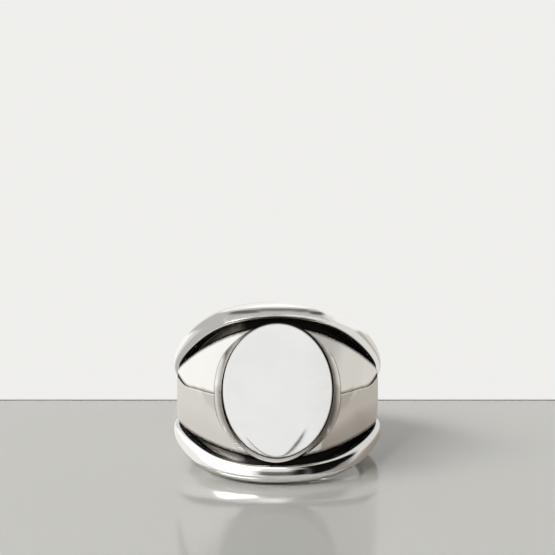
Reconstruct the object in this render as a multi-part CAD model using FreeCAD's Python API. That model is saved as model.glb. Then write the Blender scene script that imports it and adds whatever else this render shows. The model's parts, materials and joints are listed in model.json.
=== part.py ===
import FreeCAD, Part
import math
import os

# A silver signet ring, lying on the edge of its lower rim and on the back of its band.
#
# The band is a thin finger sleeve. Two half-round rim wires are soldered round its edges,
# two domed shoulders fill the space between the rims, and a hollow oval pedestal carries
# the flat seal plate. A groove separates the shoulders from each rim.
#
# The ring is drawn upright in its own frame: the finger axis is +Z, the seal faces -Y, and
# angles run round the finger from 0 at the seal to 180 at the back. resting_pose() then
# leans it back onto the surface that it lies on, at Z = 0.

Vector = FreeCAD.Vector
UP = Vector(0, 0, 1)
ORIGIN = Vector(0, 0, 0)

# Finger sleeve
BORE_R = 9.9
SLEEVE_R = 10.5
SLEEVE_LIP = 0.62

# Rim wires: height of the wire's centre above mid-band, and the wire's own section
RIM_FRONT_Z = 9.98
RIM_SIDE_Z = 4.0
RIM_BACK_Z = 2.2
RIM_FULLNESS = 0.51
RIM_CENTRE_R = 11.55
RIM_HALF_DEPTH = 1.18
RIM_HALF_WIDTH = 0.96
RIM_SQUARENESS = 2.6

# Grooves between the shoulders and the rims: width at the seal, at its widest, and at the end
GROOVE_FRONT = 0.86
GROOVE_WIDEST = 1.10
GROOVE_WIDEST_ANGLE = 35.0
GROOVE_END_ANGLE = 88.0
SEAM = 0.05

# Shoulders: a barrel of this radius at mid-band, with this radius of crown across the band
BARREL_R = 12.4
CROWN_R = 27.5

# Seal: an oval plate on a flared pedestal, as half-widths (X) and half-heights (Z)
SEAL_HALF = (6.5, 8.02)
NECK_HALF = (6.62, 8.1)
FOOT_HALF = (7.62, 8.46)
SEAL_FACE_Y = -13.3
PLATE_THICKNESS = 0.9
PLATE_CHAMFER = 0.15
FOOT_Y = -9.9
PEDESTAL_WALL = 1.3
LIP_DEPTH = 0.5
LIP_CLEARANCE = 0.03

SECTIONS = 24
SECTION_POINTS = 24
EDGE_POINTS = 72
BAND_REACH = 15.0


def polar(radius, angle, z):
    """The point at this radius, angle in degrees and height in the upright ring."""
    a = math.radians(angle)
    return Vector(radius * math.sin(a), -radius * math.cos(a), z)


def ease(share):
    """A smooth rise from 0 to 1."""
    return (1 - math.cos(math.pi * min(max(share, 0), 1))) / 2


def rim_height(angle):
    """Height of the upper rim wire's centre above mid-band."""
    a = math.radians(angle)
    mean = (RIM_FRONT_Z + RIM_BACK_Z) / 4 + RIM_SIDE_Z / 2
    tilt = (RIM_FRONT_Z - RIM_BACK_Z) / 2
    waist = (RIM_FRONT_Z + RIM_BACK_Z) / 4 - RIM_SIDE_Z / 2
    fuller = RIM_FULLNESS * math.sin(2 * a) ** 2 * (1 + math.cos(a)) / 2
    return mean + tilt * math.cos(a) + waist * math.cos(2 * a) + fuller


def rim_slope(angle):
    """Rise of the rim wire's centre line for each millimetre round the band."""
    step = 0.01
    rise = rim_height(angle + step) - rim_height(angle - step)
    return rise / (2 * math.radians(step) * RIM_CENTRE_R)


def groove_width(angle):
    """Clear width of the groove beside a rim, which ends as a fine seam."""
    turn = abs((angle + 180) % 360 - 180)
    if turn < GROOVE_WIDEST_ANGLE:
        grown = ease(turn / GROOVE_WIDEST_ANGLE)
        return GROOVE_FRONT + (GROOVE_WIDEST - GROOVE_FRONT) * grown
    closed = ease((turn - GROOVE_WIDEST_ANGLE) / (GROOVE_END_ANGLE - GROOVE_WIDEST_ANGLE))
    return GROOVE_WIDEST + (SEAM - GROOVE_WIDEST) * closed


def shoulder_edge_height(angle):
    """Height of the shoulders' upper edge."""
    rim_half = RIM_HALF_WIDTH * math.hypot(1, rim_slope(angle))
    return rim_height(angle) - rim_half - groove_width(angle)


def sleeve_edge_height(angle):
    """Height of the sleeve's upper edge, just above its solder line with the rim."""
    return rim_height(angle) + SLEEVE_LIP


def edge_cutter(height_at):
    """Everything above a height that varies round the band."""
    angles = [360 * i / EDGE_POINTS for i in range(EDGE_POINTS)]
    rings = []
    for radius in (BORE_R - 3, BARREL_R + 3):
        curve = Part.BSplineCurve()
        curve.interpolate([polar(radius, a, height_at(a)) for a in angles], PeriodicFlag=True)
        rings.append(curve.toShape())
    edge_face = Part.makeRuledSurface(rings[0], rings[1])
    return edge_face.extrude(UP * 2 * BAND_REACH)


def trimmed(solid, height_at):
    """The solid between a varying height and its mirror image below mid-band."""
    above = edge_cutter(height_at)
    below = above.mirror(ORIGIN, UP)
    return solid.cut(above).cut(below)


def band_cylinder(radius):
    return Part.makeCylinder(radius, 2 * BAND_REACH, UP * -BAND_REACH)


def half_space(side):
    """A block on one side of the ring's plane of symmetry: side is -1 or +1 along X."""
    size = 2 * BAND_REACH
    corner = Vector(min(side, 0) * size, -size, -size)
    return Part.makeBox(size, 2 * size, 2 * size, corner)


def finger_sleeve():
    tube = band_cylinder(SLEEVE_R).cut(band_cylinder(BORE_R))
    return trimmed(tube, sleeve_edge_height)


def rim_section(angle):
    """The wire's rounded section, square to the wire's own path."""
    outward = polar(1, angle, 0)
    round_band = polar(1, angle + 90, 0)
    along = (round_band + UP * rim_slope(angle)).normalize()
    across = outward.cross(along)
    centre = polar(RIM_CENTRE_R, angle, rim_height(angle))
    power = 2 / RIM_SQUARENESS
    points = []
    for i in range(SECTION_POINTS):
        turn = 2 * math.pi * (i + 0.5) / SECTION_POINTS
        depth = math.copysign(abs(math.cos(turn)) ** power, math.cos(turn))
        width = math.copysign(abs(math.sin(turn)) ** power, math.sin(turn))
        offset = outward * (RIM_HALF_DEPTH * depth) + across * (RIM_HALF_WIDTH * width)
        points.append(centre + offset)
    curve = Part.BSplineCurve()
    curve.interpolate(points, PeriodicFlag=True)
    return Part.Wire(curve.toShape())


def upper_rim_wire():
    """The rim wire, lofted down one side of the band and mirrored."""
    sections = [rim_section(180 * i / SECTIONS) for i in range(SECTIONS + 1)]
    one_side = Part.makeLoft(sections, True)
    wire = one_side.fuse(one_side.mirror(ORIGIN, Vector(1, 0, 0)))
    return wire.cut(band_cylinder(SLEEVE_R))


def lower_rim_wire():
    return upper_rim_wire().mirror(ORIGIN, UP)


def oval(half, y):
    """An upright oval wire at depth y: half gives its half-width and half-height."""
    shape = Part.Ellipse(Vector(0, y, half[1]), Vector(half[0], y, 0), Vector(0, y, 0))
    return Part.Wire(shape.toShape())


def pedestal_envelope():
    """The pedestal's outside: straight where it is sunk in the band, flared above it."""
    foot = Part.Face(oval(FOOT_HALF, FOOT_Y)).extrude(Vector(0, -FOOT_Y / 2, 0))
    neck_y = SEAL_FACE_Y + PLATE_THICKNESS
    flare = Part.makeLoft([oval(FOOT_HALF, FOOT_Y), oval(NECK_HALF, neck_y)], True)
    return foot.fuse(flare).removeSplitter()


def pedestal_opening():
    """The oval well in the pedestal, under the plate."""
    half = [size - PEDESTAL_WALL for size in SEAL_HALF]
    return Part.Face(oval(half, SEAL_FACE_Y)).extrude(Vector(0, -SEAL_FACE_Y, 0))


def face_pedestal():
    hollow = pedestal_envelope().cut(pedestal_opening())
    return hollow.cut(band_cylinder(SLEEVE_R))


def signet_plate():
    """The flat oval seal plate, with a lip under it that locates it in the pedestal."""
    blank = Part.Face(oval(SEAL_HALF, SEAL_FACE_Y)).extrude(Vector(0, PLATE_THICKNESS, 0))
    front_edge = [e for e in blank.Edges if abs(e.CenterOfMass.y - SEAL_FACE_Y) < 0.01]
    blank = blank.makeChamfer(PLATE_CHAMFER, front_edge[:1])
    lip_half = [size - PEDESTAL_WALL - LIP_CLEARANCE for size in SEAL_HALF]
    back_y = SEAL_FACE_Y + PLATE_THICKNESS
    lip = Part.Face(oval(lip_half, back_y)).extrude(Vector(0, LIP_DEPTH, 0))
    return blank.fuse(lip).removeSplitter()


def shoulder(side):
    """One domed shoulder, from the pedestal round to the middle of the back."""
    top = RIM_FRONT_Z
    crown_x = BARREL_R - CROWN_R
    edge_r = crown_x + math.sqrt(CROWN_R ** 2 - top ** 2)
    low, high = Vector(edge_r, 0, -top), Vector(edge_r, 0, top)
    crown = Part.Arc(low, Vector(BARREL_R, 0, 0), high).toShape()
    inner_high, inner_low = Vector(BORE_R, 0, top), Vector(BORE_R, 0, -top)
    inside = Part.makePolygon([high, inner_high, inner_low, low])
    profile = Part.Face(Part.Wire([crown] + inside.Edges))
    barrel = profile.revolve(ORIGIN, UP, 360).cut(band_cylinder(SLEEVE_R))
    strip = trimmed(barrel, shoulder_edge_height)
    return strip.cut(pedestal_envelope()).common(half_space(side))


def leaned_back(shape, lean):
    """The shape turned about X, so that the finger axis leans towards +Y."""
    return shape.rotated(ORIGIN, Vector(1, 0, 0), -lean)


def lowest_point(angle, lean):
    """Height of the lower rim's lowest point at this angle, once leaned back."""
    section = rim_section(angle).mirror(ORIGIN, UP)
    return leaned_back(section, lean).optimalBoundingBox().ZMin


def resting_lean():
    """The lean, in degrees, at which the seal side and the back both touch the surface."""
    low, high = 5.0, 40.0
    while high - low > 1e-4:
        lean = (low + high) / 2
        if lowest_point(0, lean) < lowest_point(180, lean):
            low = lean
        else:
            high = lean
    return (low + high) / 2


def resting_pose(shapes):
    """Lean the ring back onto the surface, centred over the origin."""
    lean = resting_lean()
    leaned = {name: leaned_back(shape, lean) for name, shape in shapes.items()}
    box = Part.makeCompound(list(leaned.values())).optimalBoundingBox()
    shift = Vector(-box.Center.x, -box.Center.y, -box.ZMin)
    for shape in leaned.values():
        shape.translate(shift)
    return leaned


def main():
    upright = {
        "finger_sleeve": finger_sleeve(),
        "upper_rim_wire": upper_rim_wire(),
        "lower_rim_wire": lower_rim_wire(),
        "left_shoulder": shoulder(-1),
        "right_shoulder": shoulder(1),
        "face_pedestal": face_pedestal(),
        "signet_plate": signet_plate(),
    }
    os.makedirs("parts", exist_ok=True)
    for name, shape in resting_pose(upright).items():
        shape.exportStep(f"parts/{name}.step")


main()
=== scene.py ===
import json
import math

import bmesh
import bpy
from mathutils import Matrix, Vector


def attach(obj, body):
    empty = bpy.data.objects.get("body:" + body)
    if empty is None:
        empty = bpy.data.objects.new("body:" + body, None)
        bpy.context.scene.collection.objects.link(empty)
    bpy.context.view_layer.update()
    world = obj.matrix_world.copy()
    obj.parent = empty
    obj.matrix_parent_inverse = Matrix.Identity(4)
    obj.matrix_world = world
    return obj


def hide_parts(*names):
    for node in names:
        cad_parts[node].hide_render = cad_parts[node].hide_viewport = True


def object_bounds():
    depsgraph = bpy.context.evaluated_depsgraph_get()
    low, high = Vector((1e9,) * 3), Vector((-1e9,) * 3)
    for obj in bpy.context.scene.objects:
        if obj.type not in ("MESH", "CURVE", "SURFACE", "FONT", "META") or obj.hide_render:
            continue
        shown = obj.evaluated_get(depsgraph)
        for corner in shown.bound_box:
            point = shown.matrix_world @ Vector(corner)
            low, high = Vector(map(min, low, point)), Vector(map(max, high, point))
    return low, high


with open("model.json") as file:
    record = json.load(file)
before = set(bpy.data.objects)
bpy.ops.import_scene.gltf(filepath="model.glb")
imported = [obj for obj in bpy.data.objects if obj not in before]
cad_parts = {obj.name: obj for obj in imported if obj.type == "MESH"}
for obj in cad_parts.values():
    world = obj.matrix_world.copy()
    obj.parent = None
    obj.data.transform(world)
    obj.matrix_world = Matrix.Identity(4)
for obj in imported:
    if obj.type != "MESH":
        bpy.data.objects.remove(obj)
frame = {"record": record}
cad_low, cad_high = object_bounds()

# ---------------------------------------------------------------------------
# The ring's own frame: finger axis up, seal towards -Y, lengths in millimetres.
# Angles run round the finger in degrees, from 0 at the seal to 180 at the back.
# A patina is 0 on bright silver and 1 where the finish is blackened; the same values also carry painted
# shade and a painted sheen.
# ---------------------------------------------------------------------------

MM = 0.001
MOUNTS = {mount["name"]: mount for mount in frame["record"]["mounts"]}
RING_CENTRE = Vector(MOUNTS["finger_bore"]["pos_m"])
FINGER_AXIS = Vector(MOUNTS["finger_bore"]["axis"]).normalized()
SIDEWAYS = Vector((1, 0, 0))
BACKWARDS = FINGER_AXIS.cross(SIDEWAYS)
LEAN = math.atan2(FINGER_AXIS.y, FINGER_AXIS.z)

# Finger sleeve: how far its edge stands past the rim wires' centres, and how far below its
# rounded edge its patina sets in
BORE_R = MOUNTS["finger_bore"]["dims"]["r_mm"]
SLEEVE_R = 10.5
SLEEVE_LIP = 0.62
SLEEVE_STAIN = (0.2, 0.5)

# Rim wires: height of the wire's centre above mid-band, and the wire's own section,
# which is squarer on the groove's side and fuller there at the front
RIM_FRONT_Z = 9.98
RIM_SIDE_Z = 4.0
RIM_BACK_Z = 2.2
RIM_FULLNESS = 0.51
RIM_CENTRE_R = 11.55
RIM_HALF_DEPTH = 1.18
RIM_HALF_WIDTH = 0.96
RIM_SQUARENESS = 2.6
RIM_GROOVE_SQUARENESS = 3.6
RIM_FRONT_FULLER = 0.26
RIM_FULLER_FADE = (50, 90)
RIM_STAIN_ACROSS = (0.975, 1.0)
RIM_STAIN_DOWN = (-0.35, 0.0)

# Grooves between the shoulders and the rims: width at the seal, at its widest, and at the end
GROOVE_FRONT = 0.86
GROOVE_WIDEST = 1.10
GROOVE_WIDEST_ANGLE = 35.0
GROOVE_END_ANGLE = 96.0
SEAM = 0.05

# Share of the patina taken out of the left grooves as a painted sheen of reflected light, and where
# that fades in and out
LOWER_GROOVE_SHEEN = 0.38
UPPER_GROOVE_SHEEN = 0.375
GROOVE_SHEEN_START = (12, 30)
GROOVE_SHEEN_END = (-85, -60)

# Shoulders: the crown falls away above a soft ridge and, more slowly at first, below mid-band.
# The ridge rises by each of these heights between the angles that follow it.
BARREL_R = 12.4
RIDGE_RISES = ((1.05, 32, 62), (1.9, 58, 84))
RIDGE_ROUNDING = 0.18
RIDGE_CLEARANCE = 0.12
UPPER_SLOPE = 0.09
UPPER_CURVE = 0.0158
LOWER_CURVE = 0.0375
EDGE_ROUNDING = 0.42
EDGE_STAIN = 1.1
EDGE_STAIN_WIDTH = 0.75
EDGE_START_STAIN = 0.46
EDGE_STAIN_TURN = 0.9
JOINT_STAIN = 0.62
JOINT_ANGLE = 1.4
SHOULDER_END = 179.88

# The crease below the ridge: each pair is its value near the seal and its value further round
CREASE_HALF_WIDTH = (0.22, 0.46)
CREASE_DEPTH = (0.018, 0.06)
CREASE_GROWTH = (58, 84)
# The crease's stain is patina near the seal that grows further round into painted shade, a dark
# reflection painted along it
CREASE_PAINTED_SHADE = (0.54, 1.7)
CREASE_SHADE_GROWTH = (60, 78)
CREASE_END_ANGLE = 100
CREASE_FADE = 6

# Pedestal: a collar that narrows in a cove from its foot to its neck, as half-widths (X) and
# half-heights (Z). TUCK is how far the shoulders reach into its side, LIP_DROP how far its lip
# hangs below the plate, and STAIN_SETS_IN the rows of points over which a patina sets in there.
SEAL_HALF = (6.55, 8.04)
NECK_HALF = (6.77, 8.23)
FOOT_HALF = (7.62, 8.46)
SEAL_FACE_Y = -13.3
PLATE_THICKNESS = 0.9
FOOT_Y = -9.9
NECK_Y = SEAL_FACE_Y + PLATE_THICKNESS
PEDESTAL_WALL = 1.3
COVE_POWER = 1.7
FOOT_SQUARENESS = 2.12
NECK_TWIST = -3.3
NECK_ROUNDING = 0.05
LIP_DROP = 0.42
TUCK = 0.05
COLLAR_STAIN = 0.58
# Painted shade added to the collar's patina on its lower sides and towards its right
COLLAR_SHADE_LOW = 0.25
COLLAR_SHADE_RIGHT = 0.06
COLLAR_STAIN_SPREAD = (0.05, 0.85)
LIP_WEAR = 0.8
STAIN_SETS_IN = 3

# Seal plate, whose lower end is worn along a U: a parabola for each half
PLATE_RISE = 0.14
PLATE_ROUNDING = 0.12
PLATE_FLARE = 0.02
PLATE_FALL = 0.05
PLATE_FALL_DEPTH = (-0.1, 0.7)
PLATE_FALL_REACH = 4.4
PLATE_FALL_FADE = 1.2
U_LEFT = 0.17
U_RIGHT = 0.27
U_ABOVE_EDGE = 0.03
# Painted shade along the U: a thin dark line on the left and a broad shaded band on the right
U_PAINTED_SHADE = 0.60
U_LEFT_WIDTH = 0.14
U_LEFT_REACH = 4.1
U_RIGHT_WIDTH = (0.16, 0.62)
U_RIGHT_WIDENING = (0.6, 2.2)
U_RIGHT_REACH = 3.7
U_LEFT_FADE = 0.8
U_RIGHT_FADE = 0.9
U_RIGHT_LIFT = 0.3
# Painted shade darkening the plate towards its right side, and how far across that grows
RIGHT_PAINTED_SHADE = 0.10
RIGHT_SHADE_REACH = 6.5

# How finely the meshes are divided. A shoulder's rows are crowded in a band round its ridge, whose
# part above the ridge is at most a height and a share of what is left. Its start is closed in on.
RING_STEPS = 360
BORE_STEPS, SLEEVE_EDGE_STEPS, OUTSIDE_STEPS = 13, 10, 25
WIRE_STEPS = 64
SHOULDER_STEPS = 200
SHOULDER_CROWDING = 1.5
FACE_LOW, FACE_RIDGE, FACE_HIGH = 36, 40, 34
FACE_STEPS = FACE_LOW + FACE_RIDGE + FACE_HIGH
RIDGE_BAND = 0.88
RIDGE_BAND_ABOVE = (1.3 * RIDGE_ROUNDING, 0.7)
RIDGE_BELOW_TOP = 0.1
CONTACT_GUESS = 30.0
CONTACT_ROUNDS = 40
EDGE_STEPS, WALL_STEPS, UNDER_STEPS = 10, 6, 12
COLLAR_AROUND, COVE_STEPS, LIP_STEPS = 288, 20, 5
PLATE_AROUND, PLATE_RINGS, PLATE_CROWDING = 320, 64, 0.8
PLATE_EDGE_STEPS, PLATE_SIDE_STEPS, PLATE_BACK_STEPS = 5, 4, 3

# ---------------------------------------------------------------------------
# Colours, lights and camera, in metres and degrees
# ---------------------------------------------------------------------------

SILVER = (0.925, 0.912, 0.885, 1)
BRUSHED = (0.862, 0.860, 0.848, 1)
DULL_SILVER = (0.30, 0.275, 0.25, 1)
TARNISH = (0.006, 0.0045, 0.0035, 1)
CLOUDING = 0.97
DULL_PATINA = (0.05, 0.55)
DARK_PATINA = (0.5, 0.8)
MATT = 0.42
SILVER_SPECULAR = 0.12

# The silver's textures: scale and detail, and for the scratches their stretch and turn too
RAGGED_NOISE = (2600, 4)
CLOUD_NOISE = (260, 4)
POLISH_NOISE = (900, 5)
RIPPLE_NOISE = (230, 1.5)
SCRATCH_NOISES = ((9000, 2, (1, 14, 1), 0.7), (7000, 2, (16, 1, 1), -0.4))
NOISE_MIDDLE = (0.3, 0.7)
CLOUD_MIDDLE = (0.35, 0.65)
SCRATCH_DEPTH = 0.00001
RIPPLE_DEPTH = 0.0001

# The floor is a grey sheet that ends behind the ring, where white paper starts past a dark gap
SHEET_BACK_Y = cad_high[1] + 0.0087
SHEET_REACH = 1.3
GAP = 0.00037
GAP_DEPTH = 0.004
GAP_REACH = 0.01

SHEET_GREY = (0.312, 0.309, 0.290)
SHEET_ROUGHNESS = 0.09
SHEET_IOR = 1.5
PAPER_WHITE = (0.866, 0.86, 0.84)
# The gap's sheet is painted dark for the shade in the gap
GAP_SHADE_GREY = (0.10, 0.10, 0.09)
GAP_ROUGHNESS = 0.9

# Hidden boards just above the floor, which only reflections see. A card has its colour by the
# ring and its colour further off.
# The right card paints the floor in shade and the left card the lit floor, each painted darker by the
# ring as shadow
SHADED_FLOOR_CARD = ((0.30, 0.264, 0.234), (0.48, 0.445, 0.405))
LIT_FLOOR_CARD = ((0.67, 0.65, 0.62), (0.73, 0.71, 0.665))
LEFT_BACK_GLOW = ((1.0, 0.995, 0.98), 1.03)
RIGHT_BACK_GLOW = ((0.70, 0.685, 0.645), 1.0)
BOARD_Z = 0.0003
BOARD_REACH = 0.8
BOARD_BACK_Y = 0.6
REAR_SHEET = 0.0075
REAR_SHEET_SLANT = 0.25
REAR_Y = SHEET_BACK_Y + REAR_SHEET
WING_Y = REAR_Y + REAR_SHEET_SLANT * BOARD_REACH
SIDE_BOARD = ((0.010, -0.016), (0.6, -0.385), (0.6, SHEET_BACK_Y), (0.010, SHEET_BACK_Y))
FRONT_BOARD = ((0.012, -0.4), (0.6, -0.4), (0.6, -0.386), (0.012, -0.018))
REAR_BOARD = ((0, SHEET_BACK_Y), (BOARD_REACH, SHEET_BACK_Y), (BOARD_REACH, WING_Y), (0, REAR_Y))
BACK_BOARD = ((0, REAR_Y), (0, BOARD_BACK_Y), (BOARD_REACH, BOARD_BACK_Y), (BOARD_REACH, WING_Y))

# Clear glowing boards that give each rim its own brightness: name, outline, side, height in
# BOARD_Z, the pieces that see it, and colour
FILLS = (
    ("bright_board", FRONT_BOARD, 1, 1, "upper", (0.22, 0.215, 0.21)),
    ("bright_fill", SIDE_BOARD, 1, 2, "upper", (0.76, 0.755, 0.74)),
    ("grey_fill", SIDE_BOARD, -1, 2, "upper", (0.50, 0.50, 0.49)),
    ("pale_fill", SIDE_BOARD, -1, 3, "lower", (0.24, 0.25, 0.26)),
)

# Where a card turns from its near colour to its far one, sideways and backwards
CARD_SIDE_FADE = (0.018, 0.075)
CARD_REAR_FADE = (0.004, 0.022)
CARD_REAR_SHARE = 0.85

# Camera
CAMERA_DISTANCE = 0.450
FRAME_WIDTH = 0.0686
SIGHT_BELOW_FACE = math.radians(2.35)
RING_BELOW_MIDDLE = 0.01465

# Light tents. Each has a base colour and soft-edged patches laid over it in turn, and lights only
# its own group of pieces. A patch is compass from and to, elevation from and to, softness of its
# edge, and colour. The compass is 0 towards the camera and 90 to the right.
TENT_R = 2.2
TENT_SPACING = 0.2
ROOM_TOP_AND_LEFT = (
    (-190, 190, 62, 100, 5.0, (0.40, 0.40, 0.395)),
    (-168, -40, -3, 34, 2.0, (1.02, 1.015, 1.0)),
)
ROOM_FRONT = (
    (-98, -40, -5, 7.3, 0.8, (0.62, 0.61, 0.59)),
    (40, 98, -5, 7.3, 0.8, (0.40, 0.375, 0.34)),
    (-40, 45, -5, 12, 2.0, (0.60, 0.60, 0.60)),
    (-40, 45, 12, 36, 2.0, (0.93, 0.93, 0.935)),
    (-50, 45, 36, 75, 3.0, (0.16, 0.16, 0.16)),
)
TENTS = {
    "room": ((0.90, 0.895, 0.88), ROOM_TOP_AND_LEFT + (
        (45, 168, -3, 26, 2.0, (0.69, 0.675, 0.635)),
        (45, 150, 26, 62, 4.0, (0.50, 0.49, 0.47)),
    ) + ROOM_FRONT + (
        (-85, -26, 30, 48, 2.0, (19.0, 19.0, 18.9)),
    )),
    "shoulder": ((0.90, 0.895, 0.88), ROOM_TOP_AND_LEFT + (
        (45, 168, -3, 62, 2.0, (0.69, 0.675, 0.635)),
        (45, 150, 21, 62, 5.0, (0.50, 0.49, 0.47)),
    ) + ROOM_FRONT + (
        (-120, -25, 38, 70, 3.0, (0.42, 0.42, 0.41)),
    )),
    "collar": ((0.86, 0.855, 0.84), (
        (40, 190, -10, 60, 6.0, (0.66, 0.645, 0.61)),
    )),
    "plate": ((0.97, 0.97, 0.96), (
        (-190, 190, 62, 100, 5.0, (0.20, 0.20, 0.20)),
        (30, 190, -10, 62, 8.0, (0.62, 0.61, 0.58)),
        (-75, 75, 42, 100, 3.0, (0.05, 0.05, 0.05)),
        (-40, 45, -5, 12, 2.0, (0.72, 0.72, 0.72)),
        (-40, 45, 12, 36, 2.0, (1.10, 1.10, 1.095)),
    )),
    "upper": ((0.97, 0.965, 0.955), (
        (-60, 50, 36, 88, 3.0, (1.18, 1.18, 1.16)),
        (-190, -120, -10, 30, 4.0, (0.78, 0.78, 0.77)),
        (-128, -52, -20, 34, 4.0, (0.50, 0.50, 0.49)),
        (-58, 55, -20, 38, 3.0, (0.66, 0.66, 0.65)),
        (-58, 55, -20, 27, 2.0, (0.51, 0.51, 0.50)),
        (-60, -20, 14.5, 22, 1.8, (0.13, 0.13, 0.125)),
        (-22, 22, 19, 25.5, 1.5, (0.20, 0.20, 0.195)),
        (20, 38, 17.5, 25, 1.5, (0.17, 0.17, 0.165)),
        (37, 55, 13.5, 19.5, 1.2, (0.10, 0.10, 0.10)),
        (54, 66, -10, 13, 1.5, (0.78, 0.775, 0.765)),
    )),
    "lower": ((0.73, 0.725, 0.71), (
        (-150, -27, -12, 80, 3.0, (1.25, 1.25, 1.24)),
        (-27, 38, -12, 80, 3.0, (0.80, 0.80, 0.79)),
        (-16, 38, -12, 27, 2.0, (0.47, 0.47, 0.46)),
        (22, 38, 25, 80, 3.0, (0.36, 0.36, 0.355)),
        (-22, 30, 14.5, 23.5, 1.5, (0.13, 0.13, 0.125)),
        (18, 40, 13, 34, 2.5, (0.012, 0.012, 0.012)),
        (38, 92, -20, 70, 3.0, (0.30, 0.29, 0.28)),
        (36, 96, 8, 62, 2.0, (0.004, 0.004, 0.004)),
        (-85, -28, 28, 50, 2.0, (8.0, 8.0, 7.9)),
        (-32, 12, 54, 68, 2.0, (2.6, 2.6, 2.55)),
    )),
}

# What each light shines on: a tent's own pieces, or every piece but the upper rim
LIT_BY = {name: bpy.data.collections.new("lit_by_" + name) for name in (*TENTS, "not_upper")}


# ---------------------------------------------------------------------------
# Places and curves
# ---------------------------------------------------------------------------


def in_place(point):
    """A point of the upright ring, in millimetres, where it lies in the frame, in metres."""
    x, y, z = point
    return RING_CENTRE + (SIDEWAYS * x + BACKWARDS * y + FINGER_AXIS * z) * MM


def polar(radius, angle, z):
    a = math.radians(angle)
    return Vector((radius * math.sin(a), -radius * math.cos(a), z))


def mix(a, b, share):
    return a + (b - a) * share


def ramp(value, low, high):
    """A smooth rise from 0 at low to 1 at high."""
    t = min(max((value - low) / (high - low), 0.0), 1.0)
    return t * t * (3 - 2 * t)


def ease(share):
    return (1 - math.cos(math.pi * min(max(share, 0), 1))) / 2


def signed_power(value, power):
    return math.copysign(abs(value) ** power, value)


def turn_from_seal(angle):
    """How far round from the seal an angle is, either way, from 0 to 180."""
    return abs((angle + 180) % 360 - 180)


def squared(half, turn, squareness):
    """A point of an oval whose shoulders are fuller the higher its squareness is above 2."""
    x, z = math.cos(turn), math.sin(turn)
    reach = (abs(x) ** squareness + abs(z) ** squareness) ** (-1 / squareness)
    return half[0] * x * reach, half[1] * z * reach


def oval_point(half, turn, y, twist=0.0, rise=0.0, squareness=2.0):
    """A point of an oval across the ring. twist turns the oval in its own plane, in degrees."""
    x, z = squared(half, turn, squareness)
    a = math.radians(twist)
    return Vector((x * math.cos(a) - z * math.sin(a), y, x * math.sin(a) + z * math.cos(a) + rise))


def on_sleeve(half, turn, squareness=2.0):
    """The oval's point at this turn, set down on the sleeve."""
    x, z = squared(half, turn, squareness)
    return Vector((x, -math.sqrt(SLEEVE_R ** 2 - x ** 2), z))


def mixed_half(a, b, share):
    return (mix(a[0], b[0], share), mix(a[1], b[1], share))


def grown(half, by):
    return (half[0] + by, half[1] + by)


# ---------------------------------------------------------------------------
# Meshes
# ---------------------------------------------------------------------------


def grid_piece(name, rows, close_rows=True, close_columns=True, caps=False):
    """A mesh over rows of (point, patina), the patina carrying painted shade too, with the points in
    the ring's own frame.
    """
    n_rows, n_columns = len(rows), len(rows[0])
    faces = []
    for i in range(n_rows if close_rows else n_rows - 1):
        for j in range(n_columns if close_columns else n_columns - 1):
            i2, j2 = (i + 1) % n_rows, (j + 1) % n_columns
            faces.append((i * n_columns + j, i * n_columns + j2,
                          i2 * n_columns + j2, i2 * n_columns + j))
    if caps:
        faces.append(tuple(range(n_columns - 1, -1, -1)))
        faces.append(tuple((n_rows - 1) * n_columns + j for j in range(n_columns)))
    mesh = bpy.data.meshes.new(name)
    mesh.from_pydata([in_place(point) for row in rows for point, _ in row], [], faces)
    patina_and_shade = mesh.attributes.new("patina_and_shade", "FLOAT", "POINT")
    patina_and_shade.data.foreach_set("value", [stain for row in rows for _, stain in row])
    mesh.polygons.foreach_set("use_smooth", [True] * len(faces))
    mesh.update()
    piece = bpy.data.objects.new(name, mesh)
    bpy.context.scene.collection.objects.link(piece)
    outwards(piece)
    return piece


def outwards(piece):
    """Turn every face outwards."""
    bpy.context.view_layer.objects.active = piece
    piece.select_set(True)
    bpy.ops.object.mode_set(mode="EDIT")
    bpy.ops.mesh.select_all(action="SELECT")
    bpy.ops.mesh.normals_make_consistent(inside=False)
    bpy.ops.object.mode_set(mode="OBJECT")
    piece.select_set(False)


def capped_disc(name, rows):
    """A piece whose rows run from near the middle of one side to near the middle of the other."""
    piece = grid_piece(name, rows, close_columns=False)
    n_columns = len(rows[0])
    disc = bmesh.new()
    disc.from_mesh(piece.data)
    disc.verts.ensure_lookup_table()
    for column in (0, n_columns - 1):
        loop = [disc.verts[i * n_columns + column] for i in range(len(rows))]
        hub = disc.verts.new(sum((vertex.co for vertex in loop), Vector()) / len(loop))
        for a, b in zip(loop, loop[1:] + loop[:1]):
            face = disc.faces.new((a, b, hub))
            face.smooth = True
        disc.verts.ensure_lookup_table()
    bmesh.ops.recalc_face_normals(disc, faces=disc.faces)
    disc.to_mesh(piece.data)
    disc.free()
    return piece


# ---------------------------------------------------------------------------
# Finger sleeve
# ---------------------------------------------------------------------------


def sleeve_section(edge_z):
    """(radius, z, patina) round the sleeve's section: up the bore, over the edge, down outside."""
    rounding = (SLEEVE_R - BORE_R) / 2
    middle = BORE_R + rounding
    top = edge_z - rounding
    turns = [math.pi * i / SLEEVE_EDGE_STEPS for i in range(SLEEVE_EDGE_STEPS)]
    bore = [(BORE_R, mix(-top, top, i / BORE_STEPS), 0.0) for i in range(BORE_STEPS)]
    upper = [(middle - rounding * math.cos(turn), top + rounding * math.sin(turn), 0.0)
             for turn in turns]
    heights = [mix(top, -top, i / OUTSIDE_STEPS) for i in range(OUTSIDE_STEPS)]
    outside = [(SLEEVE_R, z, ramp(top - abs(z), *SLEEVE_STAIN)) for z in heights]
    lower = [(middle + rounding * math.cos(turn), -top - rounding * math.sin(turn), 0.0)
             for turn in turns]
    return bore + upper + outside + lower


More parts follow.
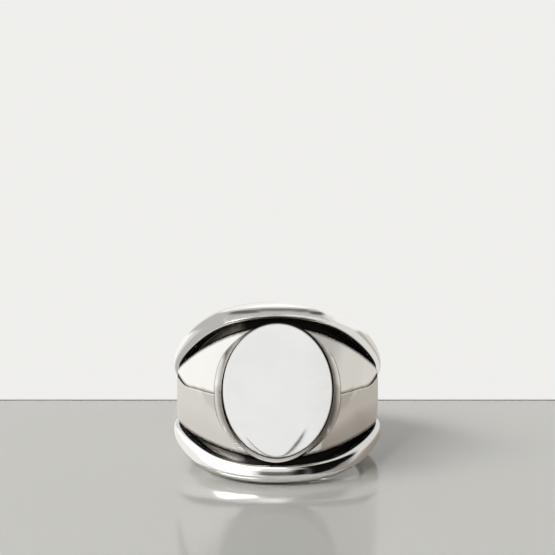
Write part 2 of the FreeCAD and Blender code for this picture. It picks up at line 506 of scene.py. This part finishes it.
def painted_groove_sheen(angle, z):
    """How much of the patina shows in the grooves: on the left it is thinned into a painted sheen of
    reflected light.
    """
    left = ramp(-angle, *GROOVE_SHEEN_START) * ramp(angle, *GROOVE_SHEEN_END)
    return 1 - left * (LOWER_GROOVE_SHEEN if z < 0 else UPPER_GROOVE_SHEEN)


def make_sleeve():
    rows = []
    for i in range(RING_STEPS):
        angle = 360 * i / RING_STEPS - 180
        section = sleeve_section(rim_height(angle) + SLEEVE_LIP)
        # The grooves' patina is thinned on the left as a painted sheen
        rows.append([(polar(r, angle, z), stain * painted_groove_sheen(angle, z)) for r, z, stain in section])
    return grid_piece("finger_sleeve_band", rows)


# ---------------------------------------------------------------------------
# Rim wires and grooves
# ---------------------------------------------------------------------------


def rim_height(angle):
    """Height of the upper rim wire's centre above mid-band."""
    a = math.radians(angle)
    mean = (RIM_FRONT_Z + RIM_BACK_Z) / 4 + RIM_SIDE_Z / 2
    tilt = (RIM_FRONT_Z - RIM_BACK_Z) / 2
    waist = (RIM_FRONT_Z + RIM_BACK_Z) / 4 - RIM_SIDE_Z / 2
    fuller = RIM_FULLNESS * math.sin(2 * a) ** 2 * (1 + math.cos(a)) / 2
    return mean + tilt * math.cos(a) + waist * math.cos(2 * a) + fuller


def rim_slope(angle):
    step = 0.01
    rise = rim_height(angle + step) - rim_height(angle - step)
    return rise / (2 * math.radians(step) * RIM_CENTRE_R)


def rim_point(angle, turn, side):
    """A point on a rim wire: turn goes round its section from outwards (0) to away from mid-band."""
    outward = polar(1, angle, 0)
    along = (polar(1, angle + 90, 0) + Vector((0, 0, rim_slope(angle)))).normalized()
    across = outward.cross(along)
    away = math.sin(turn) > 0
    power = 2 / (RIM_SQUARENESS if away else RIM_GROOVE_SQUARENESS)
    front = 1 - ramp(turn_from_seal(angle), *RIM_FULLER_FADE)
    half_width = RIM_HALF_WIDTH + (0 if away else RIM_FRONT_FULLER * front)
    point = polar(RIM_CENTRE_R, angle, rim_height(angle))
    point += outward * (RIM_HALF_DEPTH * signed_power(math.cos(turn), power))
    point += across * (half_width * signed_power(math.sin(turn), power))
    flat = math.hypot(point.x, point.y)
    if flat < SLEEVE_R:
        point.x *= SLEEVE_R / flat
        point.y *= SLEEVE_R / flat
    return Vector((point.x, point.y, point.z * side))


def rim_stain(turn):
    """Patina in the corner between a rim wire and the groove's floor."""
    return ramp(-math.sin(turn), *RIM_STAIN_ACROSS) * ramp(-math.cos(turn), *RIM_STAIN_DOWN)


def make_rim(name, side):
    turns = [2 * math.pi * i / WIRE_STEPS for i in range(WIRE_STEPS)]
    rows = []
    for i in range(RING_STEPS):
        angle = 360 * i / RING_STEPS
        rows.append([(rim_point(angle, turn, side), rim_stain(turn)) for turn in turns])
    return grid_piece(name, rows)


def groove_width(angle):
    turn = turn_from_seal(angle)
    if turn < GROOVE_WIDEST_ANGLE:
        return mix(GROOVE_FRONT, GROOVE_WIDEST, ease(turn / GROOVE_WIDEST_ANGLE))
    closed = (turn - GROOVE_WIDEST_ANGLE) / (GROOVE_END_ANGLE - GROOVE_WIDEST_ANGLE)
    return mix(GROOVE_WIDEST, SEAM, ease(closed))


# ---------------------------------------------------------------------------
# Shoulders
# ---------------------------------------------------------------------------


def shoulder_edge_height(angle):
    rim_half = RIM_HALF_WIDTH * math.hypot(1, rim_slope(angle))
    return rim_height(angle) - rim_half - groove_width(angle)


def ridge_height(angle):
    """Height of the ridge along a shoulder: level by the seal, then up to the upper groove's end."""
    turn = turn_from_seal(angle)
    height = sum(rise * ramp(turn, start, end) for rise, start, end in RIDGE_RISES)
    return min(height, shoulder_edge_height(angle) - RIDGE_CLEARANCE)


def crease_share(angle, z):
    """1 along the middle of the fine crease under the ridge, falling to 0 at its sides."""
    turn = turn_from_seal(angle)
    half = mix(*CREASE_HALF_WIDTH, ramp(turn, *CREASE_GROWTH))
    off_middle = abs(z - ridge_height(angle) + half)
    return ramp(half - off_middle, 0, half) * ramp(CREASE_END_ANGLE - turn, 0, CREASE_FADE)


def barrel_radius(angle, z):
    """Radius of a shoulder's face at this height."""
    above = z - ridge_height(angle)
    if above > 0:
        rounded = above * above / (2 * RIDGE_ROUNDING)
        bend = rounded if above < RIDGE_ROUNDING else above - RIDGE_ROUNDING / 2
        drop = UPPER_SLOPE * bend + UPPER_CURVE * above * above / 2
    else:
        depth = mix(*CREASE_DEPTH, ramp(turn_from_seal(angle), *CREASE_GROWTH))
        drop = depth * crease_share(angle, z)
    if z < 0:
        drop += LOWER_CURVE * z * z / 2
    return BARREL_R - drop


def face_height(angle, edge, column):
    """Height of one of the rows up a shoulder's face, crowded at the ridge."""
    top = edge - EDGE_ROUNDING
    ridge = min(ridge_height(angle), top - RIDGE_BELOW_TOP)
    above = ridge + min(RIDGE_BAND_ABOVE[0], (top - ridge) * RIDGE_BAND_ABOVE[1])
    below = ridge - RIDGE_BAND
    if column <= FACE_LOW:
        return mix(-top, below, column / FACE_LOW)
    if column <= FACE_LOW + FACE_RIDGE:
        return mix(below, above, (column - FACE_LOW) / FACE_RIDGE)
    return mix(above, top, (column - FACE_LOW - FACE_RIDGE) / FACE_HIGH)


def face_point(angle, edge, column):
    """(radius, z, patina) of a point up a shoulder's face, with painted shade along the crease."""
    z = face_height(angle, edge, column)
    strength = mix(*CREASE_PAINTED_SHADE, ramp(turn_from_seal(angle), *CREASE_SHADE_GROWTH))
    near_edge = EDGE_STAIN * ramp(EDGE_STAIN_WIDTH - (edge - abs(z)), 0, EDGE_STAIN_WIDTH)
    return barrel_radius(angle, z), z, max(near_edge, strength * crease_share(angle, z))


def edge_point(face_radius, edge, step, side):
    """(radius, z, patina) on a shoulder's rounded edge: step counts from its face to its wall."""
    turn = math.pi / 2 * step / EDGE_STEPS
    z = edge - EDGE_ROUNDING + EDGE_ROUNDING * math.sin(turn)
    stain = mix(EDGE_START_STAIN, 1.0, ramp(turn, 0, EDGE_STAIN_TURN))
    return face_radius - EDGE_ROUNDING * (1 - math.cos(turn)), z * side, stain


def shoulder_station(angle, column):
    """(radius, z, patina) of a point round a shoulder's section, up its face and back below it."""
    edge = shoulder_edge_height(angle)
    if column <= FACE_STEPS:
        return face_point(angle, edge, column)
    column -= FACE_STEPS
    high_radius = barrel_radius(angle, edge - EDGE_ROUNDING)
    if column <= EDGE_STEPS:
        return edge_point(high_radius, edge, column, 1)
    column -= EDGE_STEPS
    if column <= WALL_STEPS:
        return mix(high_radius - EDGE_ROUNDING, SLEEVE_R, column / WALL_STEPS), edge, 1.0
    column -= WALL_STEPS
    if column <= UNDER_STEPS:
        return SLEEVE_R, mix(edge, -edge, column / UNDER_STEPS), 1.0
    column -= UNDER_STEPS
    low_radius = barrel_radius(angle, EDGE_ROUNDING - edge)
    if column <= WALL_STEPS:
        return mix(SLEEVE_R, low_radius - EDGE_ROUNDING, column / WALL_STEPS), -edge, 1.0
    return edge_point(low_radius, edge, WALL_STEPS + EDGE_STEPS - column, -1)


def cove_spread(y):
    """How far the pedestal has narrowed, from 0 at its foot to 1 at its neck."""
    share = min(max((FOOT_Y - y) / (FOOT_Y - NECK_Y), 0.0), 1.0)
    return 1 - (1 - share) ** COVE_POWER


def pedestal_contact(radius, angle, z):
    """The angle at which the pedestal's side meets the shoulder at this height."""
    spread = cove_spread(-radius * math.cos(math.radians(angle)))
    half = mixed_half(FOOT_HALF, NECK_HALF, spread)
    power = mix(FOOT_SQUARENESS, 2, spread)
    x = half[0] * max(1 - (abs(z) / half[1]) ** power, 0.0) ** (1 / power) - TUCK
    return math.degrees(math.asin(min(max(x, 0.0) / radius, 1)))


def start_angle(column):
    """Where this row of a shoulder starts against the pedestal, found by closing in on it."""
    angle = CONTACT_GUESS
    for _ in range(CONTACT_ROUNDS):
        radius, z, _ = shoulder_station(angle, column)
        angle = mix(angle, pedestal_contact(radius, angle, z), 0.5)
    return angle


def shoulder_row(starts, along, side):
    """One row round a shoulder's section, this share of the way from the pedestal to the back."""
    row = []
    for column, start in enumerate(starts):
        angle = mix(start, SHOULDER_END, along)
        radius, z, stain = shoulder_station(angle, column)
        joint = JOINT_STAIN * ramp(JOINT_ANGLE - (angle - start), 0, JOINT_ANGLE)
        row.append((polar(radius, side * angle, z), max(stain, joint)))
    return row


def make_shoulder(name, side):
    columns = FACE_STEPS + 2 * EDGE_STEPS + 2 * WALL_STEPS + UNDER_STEPS
    starts = [start_angle(column) for column in range(columns)]
    shares = [(i / SHOULDER_STEPS) ** SHOULDER_CROWDING for i in range(SHOULDER_STEPS + 1)]
    rows = [shoulder_row(starts, along, side) for along in shares]
    return grid_piece(name, rows, close_rows=False, caps=True)


# ---------------------------------------------------------------------------
# Pedestal
# ---------------------------------------------------------------------------


def lowness(turn):
    """1 at the collar's bottom, fading to 0 at its sides."""
    return max(-math.sin(turn), 0.0) ** 2


def collar_stain(turn, spread):
    """Patina up the collar: none at its foot, darkest by the plate, and worn off at the bottom, with
    painted shade added on its lower sides and its right.
    """
    strength = (COLLAR_STAIN + COLLAR_SHADE_LOW * max(-math.sin(turn), 0.0)
                + COLLAR_SHADE_RIGHT * math.cos(turn))
    return strength * (1 - LIP_WEAR * lowness(turn)) * ramp(spread, *COLLAR_STAIN_SPREAD)


def foot_points(turn):
    """The collar's foot, from the sleeve up to where the cove starts."""
    low = on_sleeve(FOOT_HALF, turn, FOOT_SQUARENESS)
    high = oval_point(FOOT_HALF, turn, FOOT_Y, squareness=FOOT_SQUARENESS)
    return [(low, 1.0), ((low + high) / 2, 1.0)]


def cove_points(turn, rise):
    points = []
    for i in range(COVE_STEPS + 1):
        share = i / COVE_STEPS
        spread = 1 - (1 - share) ** COVE_POWER
        half = mixed_half(FOOT_HALF, NECK_HALF, spread)
        y = mix(FOOT_Y, NECK_Y + NECK_ROUNDING, share)
        squareness = mix(FOOT_SQUARENESS, 2, spread)
        point = oval_point(half, turn, y, NECK_TWIST * share, rise * share, squareness)
        points.append((point, collar_stain(turn, spread)))
    return points


def lip_points(turn, rise):
    """The collar's rounded lip round the plate, dark but where it is worn at the bottom."""
    points = []
    for i in range(1, LIP_STEPS + 1):
        bend = math.pi / 2 * i / LIP_STEPS
        half = grown(NECK_HALF, -NECK_ROUNDING * (1 - math.cos(bend)))
        y = NECK_Y + NECK_ROUNDING * (1 - math.sin(bend))
        stain = max(ramp(i, 0, STAIN_SETS_IN) * (1 - LIP_WEAR * lowness(turn)), collar_stain(turn, 1.0))
        points.append((oval_point(half, turn, y, NECK_TWIST, rise), stain))
    return points


def make_pedestal():
    inner = grown(SEAL_HALF, -PEDESTAL_WALL)
    rows = []
    for i in range(COLLAR_AROUND):
        turn = 2 * math.pi * i / COLLAR_AROUND
        rise = PLATE_RISE - LIP_DROP * lowness(turn)
        inside = [(oval_point(inner, turn, NECK_Y, 0, PLATE_RISE), 1.0), (on_sleeve(inner, turn), 1.0)]
        rows.append(foot_points(turn) + cove_points(turn, rise) + lip_points(turn, rise) + inside)
    return grid_piece("face_pedestal_collar", rows)


# ---------------------------------------------------------------------------
# Seal plate
# ---------------------------------------------------------------------------


def worn_line(x, z):
    """How far a point of the plate lies above the U worn into its lower end."""
    return z - (U_ABOVE_EDGE - SEAL_HALF[1] + (U_LEFT if x < 0 else U_RIGHT) * x * x)


def painted_u_shade(x, z):
    """Painted shade along the worn U, a thin dark line on the left and a broad shaded band on the
    right, and over the plate's right side.
    """
    above = worn_line(x, z)
    if x < 0:
        line = ramp(U_LEFT_WIDTH - abs(above), 0, U_LEFT_WIDTH)
        return U_PAINTED_SHADE * line * ramp(U_LEFT_REACH + x, 0, U_LEFT_FADE)
    broad = mix(*U_RIGHT_WIDTH, ramp(x, *U_RIGHT_WIDENING))
    shade_band = ramp(broad - abs(above - U_RIGHT_LIFT * broad), 0, broad)
    u_shade = U_PAINTED_SHADE * shade_band * ramp(U_RIGHT_REACH - x, 0, U_RIGHT_FADE)
    return max(u_shade, RIGHT_PAINTED_SHADE * ramp(x, 0, RIGHT_SHADE_REACH))


def plate_fall(x, z):
    """How far the plate's worn lower end falls behind its flat face."""
    depth = ramp(-worn_line(x, z), *PLATE_FALL_DEPTH)
    return PLATE_FALL * depth * ramp(PLATE_FALL_REACH - abs(x), 0, PLATE_FALL_FADE)


def plate_face(half, turn):
    points = []
    for i in range(1, PLATE_RINGS + 1):
        share = (i / PLATE_RINGS) ** PLATE_CROWDING
        x, z = half[0] * share * math.cos(turn), half[1] * share * math.sin(turn)
        point = Vector((x, SEAL_FACE_Y + plate_fall(x, z), z + PLATE_RISE))
        points.append((point, painted_u_shade(x, z)))
    return points


def plate_edge(half, turn, sunk):
    """The rounded edge round the plate's face, which starts this far back."""
    points = []
    for i in range(1, PLATE_EDGE_STEPS + 1):
        bend = math.pi / 2 * i / PLATE_EDGE_STEPS
        y = sunk + PLATE_ROUNDING * (1 - math.cos(bend))
        ring = grown(half, PLATE_ROUNDING * math.sin(bend))
        points.append((oval_point(ring, turn, y, 0, PLATE_RISE), 0.0))
    return points


def plate_side_and_back(turn, top):
    points = []
    for i in range(1, PLATE_SIDE_STEPS + 1):
        half = grown(SEAL_HALF, PLATE_FLARE * i / PLATE_SIDE_STEPS)
        y = mix(top, NECK_Y, i / PLATE_SIDE_STEPS)
        points.append((oval_point(half, turn, y, 0, PLATE_RISE), ramp(i, 0, STAIN_SETS_IN)))
    for i in range(1, PLATE_BACK_STEPS + 1):
        share = 1 - i / (PLATE_BACK_STEPS + 1)
        half = (SEAL_HALF[0] * share, SEAL_HALF[1] * share)
        points.append((oval_point(half, turn, NECK_Y, 0, PLATE_RISE), 1.0))
    return points


def make_plate():
    half = grown(SEAL_HALF, -PLATE_ROUNDING)
    rows = []
    for i in range(PLATE_AROUND):
        turn = 2 * math.pi * i / PLATE_AROUND
        face = plate_face(half, turn)
        sunk = face[-1][0].y
        edge = plate_edge(half, turn, sunk)
        rows.append(face + edge + plate_side_and_back(turn, sunk + PLATE_ROUNDING))
    return capped_disc("signet_plate_oval", rows)


# ---------------------------------------------------------------------------
# Materials
# ---------------------------------------------------------------------------


class Nodes:
    """A new material's nodes, with a short call for each kind that is used here."""

    def __init__(self, name):
        self.material = bpy.data.materials.new(name)
        self.material.use_nodes = True
        self.tree = self.material.node_tree
        self.shader = self.tree.nodes["Principled BSDF"]
        self.surface = self.tree.nodes["Material Output"].inputs["Surface"]

    def add(self, kind):
        return self.tree.nodes.new("ShaderNode" + kind)

    def feed(self, socket, value):
        """Link a node's output to a socket, or give it a plain number or colour."""
        if isinstance(value, bpy.types.NodeSocket):
            self.tree.links.new(value, socket)
        else:
            socket.default_value = value

    def place(self):
        return self.add("TexCoord").outputs["Object"]

    def split(self):
        node = self.add("SeparateXYZ")
        self.feed(node.inputs["Vector"], self.place())
        return node.outputs

    def maths(self, operation, a, b=0.0):
        node = self.add("Math")
        node.operation = operation
        self.feed(node.inputs[0], a)
        self.feed(node.inputs[1], b)
        return node.outputs["Value"]

    def spread(self, value, low, high, to_low=0.0, to_high=1.0, kind="LINEAR"):
        """Map values from low to high onto those from to_low to to_high, and clamp them there."""
        node = self.add("MapRange")
        node.interpolation_type = kind
        node.inputs["From Min"].default_value = low
        node.inputs["From Max"].default_value = high
        node.inputs["To Min"].default_value = to_low
        node.inputs["To Max"].default_value = to_high
        self.feed(node.inputs["Value"], value)
        return node.outputs["Result"]

    def blend(self, share, a, b):
        """A colour from a, where share is 0, to b, where it is 1."""
        node = self.add("Mix")
        node.data_type = "RGBA"
        self.feed(node.inputs["Factor"], share)
        self.feed(node.inputs[6], a)
        self.feed(node.inputs[7], b)
        return node.outputs[2]

    def noise(self, scale, detail, stretch=(1, 1, 1), turn=0.0):
        mapping = self.add("Mapping")
        mapping.inputs["Scale"].default_value = stretch
        mapping.inputs["Rotation"].default_value = (0.3 * turn, turn, 0.6 * turn)
        self.feed(mapping.inputs["Vector"], self.place())
        texture = self.add("TexNoise")
        texture.inputs["Scale"].default_value = scale
        texture.inputs["Detail"].default_value = detail
        self.feed(texture.inputs["Vector"], mapping.outputs["Vector"])
        return texture.outputs["Fac"]

    def bump(self, height, strength, distance):
        node = self.add("Bump")
        node.inputs["Strength"].default_value = strength
        node.inputs["Distance"].default_value = distance
        self.feed(node.inputs["Height"], height)
        return node

    def glow(self, colour):
        node = self.add("Emission")
        self.feed(node.inputs["Color"], colour)
        return node.outputs["Emission"]

    def clear(self):
        return self.add("BsdfTransparent").outputs["BSDF"]

    def glow_through(self, colour):
        """Light from a surface that otherwise isn't there."""
        both = self.add("AddShader")
        self.feed(both.inputs[0], self.glow(colour))
        self.feed(both.inputs[1], self.clear())
        self.feed(self.surface, both.outputs["Shader"])


def silver(name, colour, roughness, unevenness, scratch, ripple, raggedness):
    """Sterling silver with fine scratches, and a blackened finish where the patina and painted shade
    are.
    """
    nodes = Nodes(name)
    shader = nodes.shader
    stain = nodes.add("Attribute")
    stain.attribute_name = "patina_and_shade"
    ragged = nodes.spread(nodes.noise(*RAGGED_NOISE), *NOISE_MIDDLE, 1 - raggedness, 1 + raggedness)
    patina_and_shade = nodes.maths("MULTIPLY", stain.outputs["Fac"], ragged)
    dull = nodes.spread(patina_and_shade, *DULL_PATINA)
    dark = nodes.spread(patina_and_shade, *DARK_PATINA)

    cloudy = nodes.spread(nodes.noise(*CLOUD_NOISE), *CLOUD_MIDDLE)
    clouded = tuple(channel * CLOUDING for channel in colour[:3]) + (1,)
    clean = nodes.blend(cloudy, colour, clouded)
    worn = nodes.blend(dull, clean, DULL_SILVER)
    nodes.feed(shader.inputs["Base Color"], nodes.blend(dark, worn, TARNISH))
    nodes.feed(shader.inputs["Metallic"], nodes.spread(dark, 0, 1, 1.0, 0.0))
    polish = nodes.spread(nodes.noise(*POLISH_NOISE), *NOISE_MIDDLE,
                          roughness * (1 - unevenness), roughness * (1 + unevenness))
    matt = nodes.spread(dark, 0, 1, 0.0, MATT)
    nodes.feed(shader.inputs["Roughness"], nodes.maths("ADD", polish, matt))
    shader.inputs["Specular IOR Level"].default_value = SILVER_SPECULAR

    crossed = nodes.maths("ADD", *(nodes.noise(*scratches) for scratches in SCRATCH_NOISES))
    marks = nodes.bump(crossed, scratch, SCRATCH_DEPTH)
    waves = nodes.bump(nodes.noise(*RIPPLE_NOISE), ripple, RIPPLE_DEPTH)
    nodes.feed(marks.inputs["Normal"], waves.outputs["Normal"])
    nodes.feed(shader.inputs["Normal"], marks.outputs["Normal"])
    return nodes.material


def plain_material(name, colour, roughness=0.5):
    nodes = Nodes(name)
    nodes.shader.inputs["Base Color"].default_value = (*colour, 1)
    nodes.shader.inputs["Roughness"].default_value = roughness
    return nodes.material


def lamp_material(name, colour, strength):
    """A surface that glows and reflects nothing."""
    nodes = Nodes(name)
    shader = nodes.shader
    shader.inputs["Base Color"].default_value = (0, 0, 0, 1)
    shader.inputs["Specular IOR Level"].default_value = 0.0
    shader.inputs["Emission Color"].default_value = (*colour, 1)
    shader.inputs["Emission Strength"].default_value = strength
    return nodes.material


def clear_lamp_material(name, colour):
    nodes = Nodes(name)
    nodes.glow_through((*colour, 1))
    return nodes.material


def card_material(name, near, far):
    """A glowing board of painted floor light and shade that shows only from above: near's colour by the
    ring, far's further off.
    """
    nodes = Nodes(name)
    place = nodes.split()
    sideways = nodes.spread(nodes.maths("ABSOLUTE", place["X"]), *CARD_SIDE_FADE)
    backwards = nodes.spread(place["Y"], *CARD_REAR_FADE, 0.0, CARD_REAR_SHARE)
    shade = nodes.blend(nodes.maths("ADD", sideways, backwards), (*near, 1), (*far, 1))
    sides = nodes.add("MixShader")
    nodes.feed(sides.inputs["Fac"], nodes.add("NewGeometry").outputs["Backfacing"])
    nodes.feed(sides.inputs[1], nodes.glow(shade))
    nodes.feed(sides.inputs[2], nodes.clear())
    nodes.feed(nodes.surface, sides.outputs["Shader"])
    return nodes.material


def tent_material(name, radius, base, patches):
    nodes = Nodes(name)
    place = nodes.split()
    towards = nodes.maths("MULTIPLY", place["Y"], -1)
    compass = nodes.maths("DEGREES", nodes.maths("ARCTAN2", place["X"], towards))
    height = nodes.maths("DEGREES", nodes.maths("ARCSINE", nodes.maths("DIVIDE", place["Z"], radius)))

    def between(value, start, end, soft):
        rise = nodes.spread(value, start - soft, start + soft, kind="SMOOTHSTEP")
        fall = nodes.spread(value, end - soft, end + soft, kind="SMOOTHSTEP")
        return nodes.maths("MULTIPLY", rise, nodes.maths("SUBTRACT", 1.0, fall))

    glow = (*base, 1)
    for left, right, low, high, soft, colour in patches:
        wide = between(compass, left, right, 3 * soft)
        tall = between(height, low, high, soft)
        glow = nodes.blend(nodes.maths("MULTIPLY", wide, tall), glow, (*colour, 1))
    nodes.glow_through(glow)
    return nodes.material


# ---------------------------------------------------------------------------
# The ring
# ---------------------------------------------------------------------------


def finish_piece(piece, node, material, group):
    piece.data.materials.append(material)
    LIT_BY[group].objects.link(piece)
    if group != "upper":
        LIT_BY["not_upper"].objects.link(piece)
    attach(piece, "root")
    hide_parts(node)


def make_ring():
    polished = silver("polished_silver", SILVER, roughness=0.085, unevenness=0.3,
                      scratch=0.06, ripple=0.05, raggedness=0.2)
    aged = silver("aged_silver", SILVER, roughness=0.16, unevenness=0.2,
                  scratch=0.06, ripple=0.04, raggedness=0.05)
    satin = silver("satin_silver", BRUSHED, roughness=0.32, unevenness=0.05,
                   scratch=0.05, ripple=0.02, raggedness=0.1)
    finish_piece(make_sleeve(), "finger_sleeve", aged, "room")
    for rim, side in (("upper", 1), ("lower", -1)):
        piece = make_rim(rim + "_rim_half_round", side)
        finish_piece(piece, rim + "_rim_wire", polished, rim)
    for hand, side in (("left", -1), ("right", 1)):
        piece = make_shoulder(hand + "_shoulder_dome", side)
        finish_piece(piece, hand + "_shoulder", polished, "shoulder")
    finish_piece(make_pedestal(), "face_pedestal", aged, "collar")
    finish_piece(make_plate(), "signet_plate", satin, "plate")


# ---------------------------------------------------------------------------
# Studio
# ---------------------------------------------------------------------------


def stage_face(name, corners, material):
    mesh = bpy.data.meshes.new(name)
    mesh.from_pydata(corners, [], [tuple(range(len(corners)))])
    mesh.materials.append(material)
    face = bpy.data.objects.new(name, mesh)
    bpy.context.scene.collection.objects.link(face)
    LIT_BY["room"].objects.link(face)
    return face


def wide_sheet(name, front, back, z, material):
    left, right = -SHEET_REACH, SHEET_REACH
    stage_face(name, [(left, front, z), (right, front, z), (right, back, z), (left, back, z)], material)


def face_up(outline, side):
    """An outline's corners on the right (1) or the left (-1), so that its board faces up."""
    return [(x * side, y) for x, y in outline[::side]]


def hidden_board(name, outline, z, material, shines_on=None):
    """A level board that only reflections see, and only those in the pieces it shines on."""
    board = stage_face(name, [(x, y, z) for x, y in outline], material)
    board.visible_camera = False
    board.visible_diffuse = False
    board.visible_shadow = False
    if shines_on is not None:
        board.light_linking.receiver_collection = LIT_BY[shines_on]


def make_floor():
    grey = plain_material("grey_sheet", SHEET_GREY, SHEET_ROUGHNESS)
    grey.node_tree.nodes["Principled BSDF"].inputs["IOR"].default_value = SHEET_IOR
    white = lamp_material("white_paper", PAPER_WHITE, 1.0)
    wide_sheet("floor", -SHEET_REACH, SHEET_BACK_Y, 0, grey)
    wide_sheet("paper", SHEET_BACK_Y + GAP, SHEET_REACH, 0, white)


def make_gap():
    """What shows dark through the gap between the grey sheet and the paper: a sheet painted dark for
    the shade down there.
    """
    dark = plain_material("gap_shadow", GAP_SHADE_GREY, GAP_ROUGHNESS)
    wide_sheet("gap", SHEET_BACK_Y - GAP_REACH, SHEET_BACK_Y + GAP_REACH, -GAP_DEPTH, dark)


def make_side_boards():
    """Cards beside and behind the ring that paint the floor's light and shade, and the fills above and
    in front of them.
    """
    dusky = card_material("shaded_floor_board", *SHADED_FLOOR_CARD)
    pale = card_material("lit_floor_board", *LIT_FLOOR_CARD)
    for side, hand, card in ((1, "right", dusky), (-1, "left", pale)):
        hidden_board(hand + "_side_board", face_up(SIDE_BOARD, side), BOARD_Z, card, "not_upper")
        hidden_board(hand + "_rear_sheet", face_up(REAR_BOARD, side), BOARD_Z, card)
    for name, outline, side, level, shines_on, colour in FILLS:
        lamp = clear_lamp_material(name, colour)
        hidden_board(name, face_up(outline, side), level * BOARD_Z, lamp, shines_on)


def make_back_boards():
    left = lamp_material("left_board", *LEFT_BACK_GLOW)
    right = lamp_material("right_board", *RIGHT_BACK_GLOW)
    hidden_board("left_board", [(-x, y) for x, y in BACK_BOARD], BOARD_Z, left)
    hidden_board("right_board", BACK_BOARD, BOARD_Z, right)


def make_tent(name, radius, base, patches):
    bpy.ops.mesh.primitive_uv_sphere_add(segments=64, ring_count=32, radius=radius)
    tent = bpy.context.object
    tent.name = name + "_tent"
    tent.visible_camera = False
    tent.data.materials.append(tent_material(tent.name, radius, base, patches))
    tent.light_linking.receiver_collection = LIT_BY[name]


def make_lights():
    for step, (name, (base, patches)) in enumerate(TENTS.items()):
        make_tent(name, TENT_R + TENT_SPACING * step, base, patches)
    world = bpy.data.worlds.new("studio")
    world.use_nodes = True
    world.node_tree.nodes["Background"].inputs["Color"].default_value = (0, 0, 0, 1)
    bpy.context.scene.world = world


def make_camera():
    data = bpy.data.cameras.new("camera")
    camera = bpy.data.objects.new("camera", data)
    bpy.context.scene.collection.objects.link(camera)
    sight = LEAN - SIGHT_BELOW_FACE
    towards = Vector((0, -math.cos(sight), math.sin(sight)))
    camera.location = RING_CENTRE + towards * CAMERA_DISTANCE
    pitch = sight - math.atan(RING_BELOW_MIDDLE / CAMERA_DISTANCE)
    camera.rotation_euler = (math.pi / 2 - pitch, 0, 0)
    data.sensor_width = 36
    data.lens = data.sensor_width * CAMERA_DISTANCE / FRAME_WIDTH
    data.clip_start = 0.01
    data.clip_end = 10
    bpy.context.scene.camera = camera


make_ring()
make_floor()
make_side_boards()
make_back_boards()
make_gap()
make_lights()
make_camera()
bpy.context.scene.view_settings.view_transform = "Standard"
